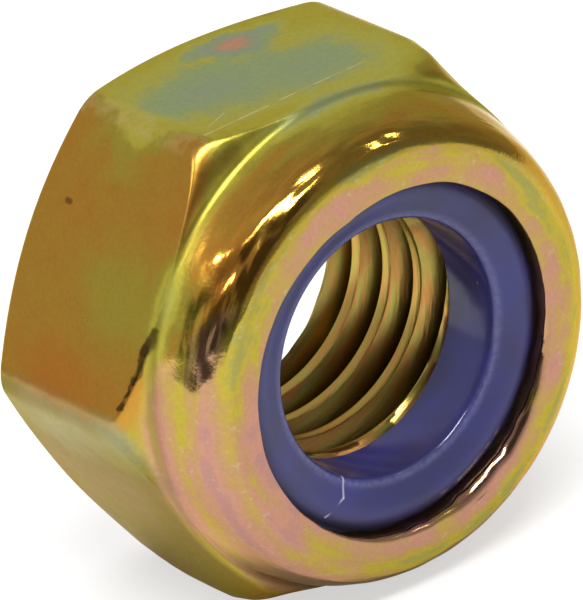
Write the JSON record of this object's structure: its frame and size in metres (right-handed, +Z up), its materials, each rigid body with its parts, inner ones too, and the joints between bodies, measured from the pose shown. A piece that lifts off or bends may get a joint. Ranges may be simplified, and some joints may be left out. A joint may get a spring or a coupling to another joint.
{
  "type": "nylon insert lock nut",
  "caption": "Hexagon lock nut with a rolled collar that holds a blue nylon ring over the thread, yellow passivated steel, lying on one flat.",
  "frame": {"origin": "on the surface that the nut lies on, below the middle of its bounding box", "axes": "+Z up, out of the top flat; the thread axis runs along Y, with the bearing face towards +Y and the collar with the nylon ring towards -Y; +X across the corners"},
  "size_m": [0.0148, 0.008, 0.013],
  "materials": {
    "plated_steel": "yellow iridescent passivated zinc",
    "nylon": "satin face, smooth bore"
  },
  "bodies": {
    "root": {"nut_body": "plated_steel", "nylon_insert": "nylon"}
  },
  "joints": []
}
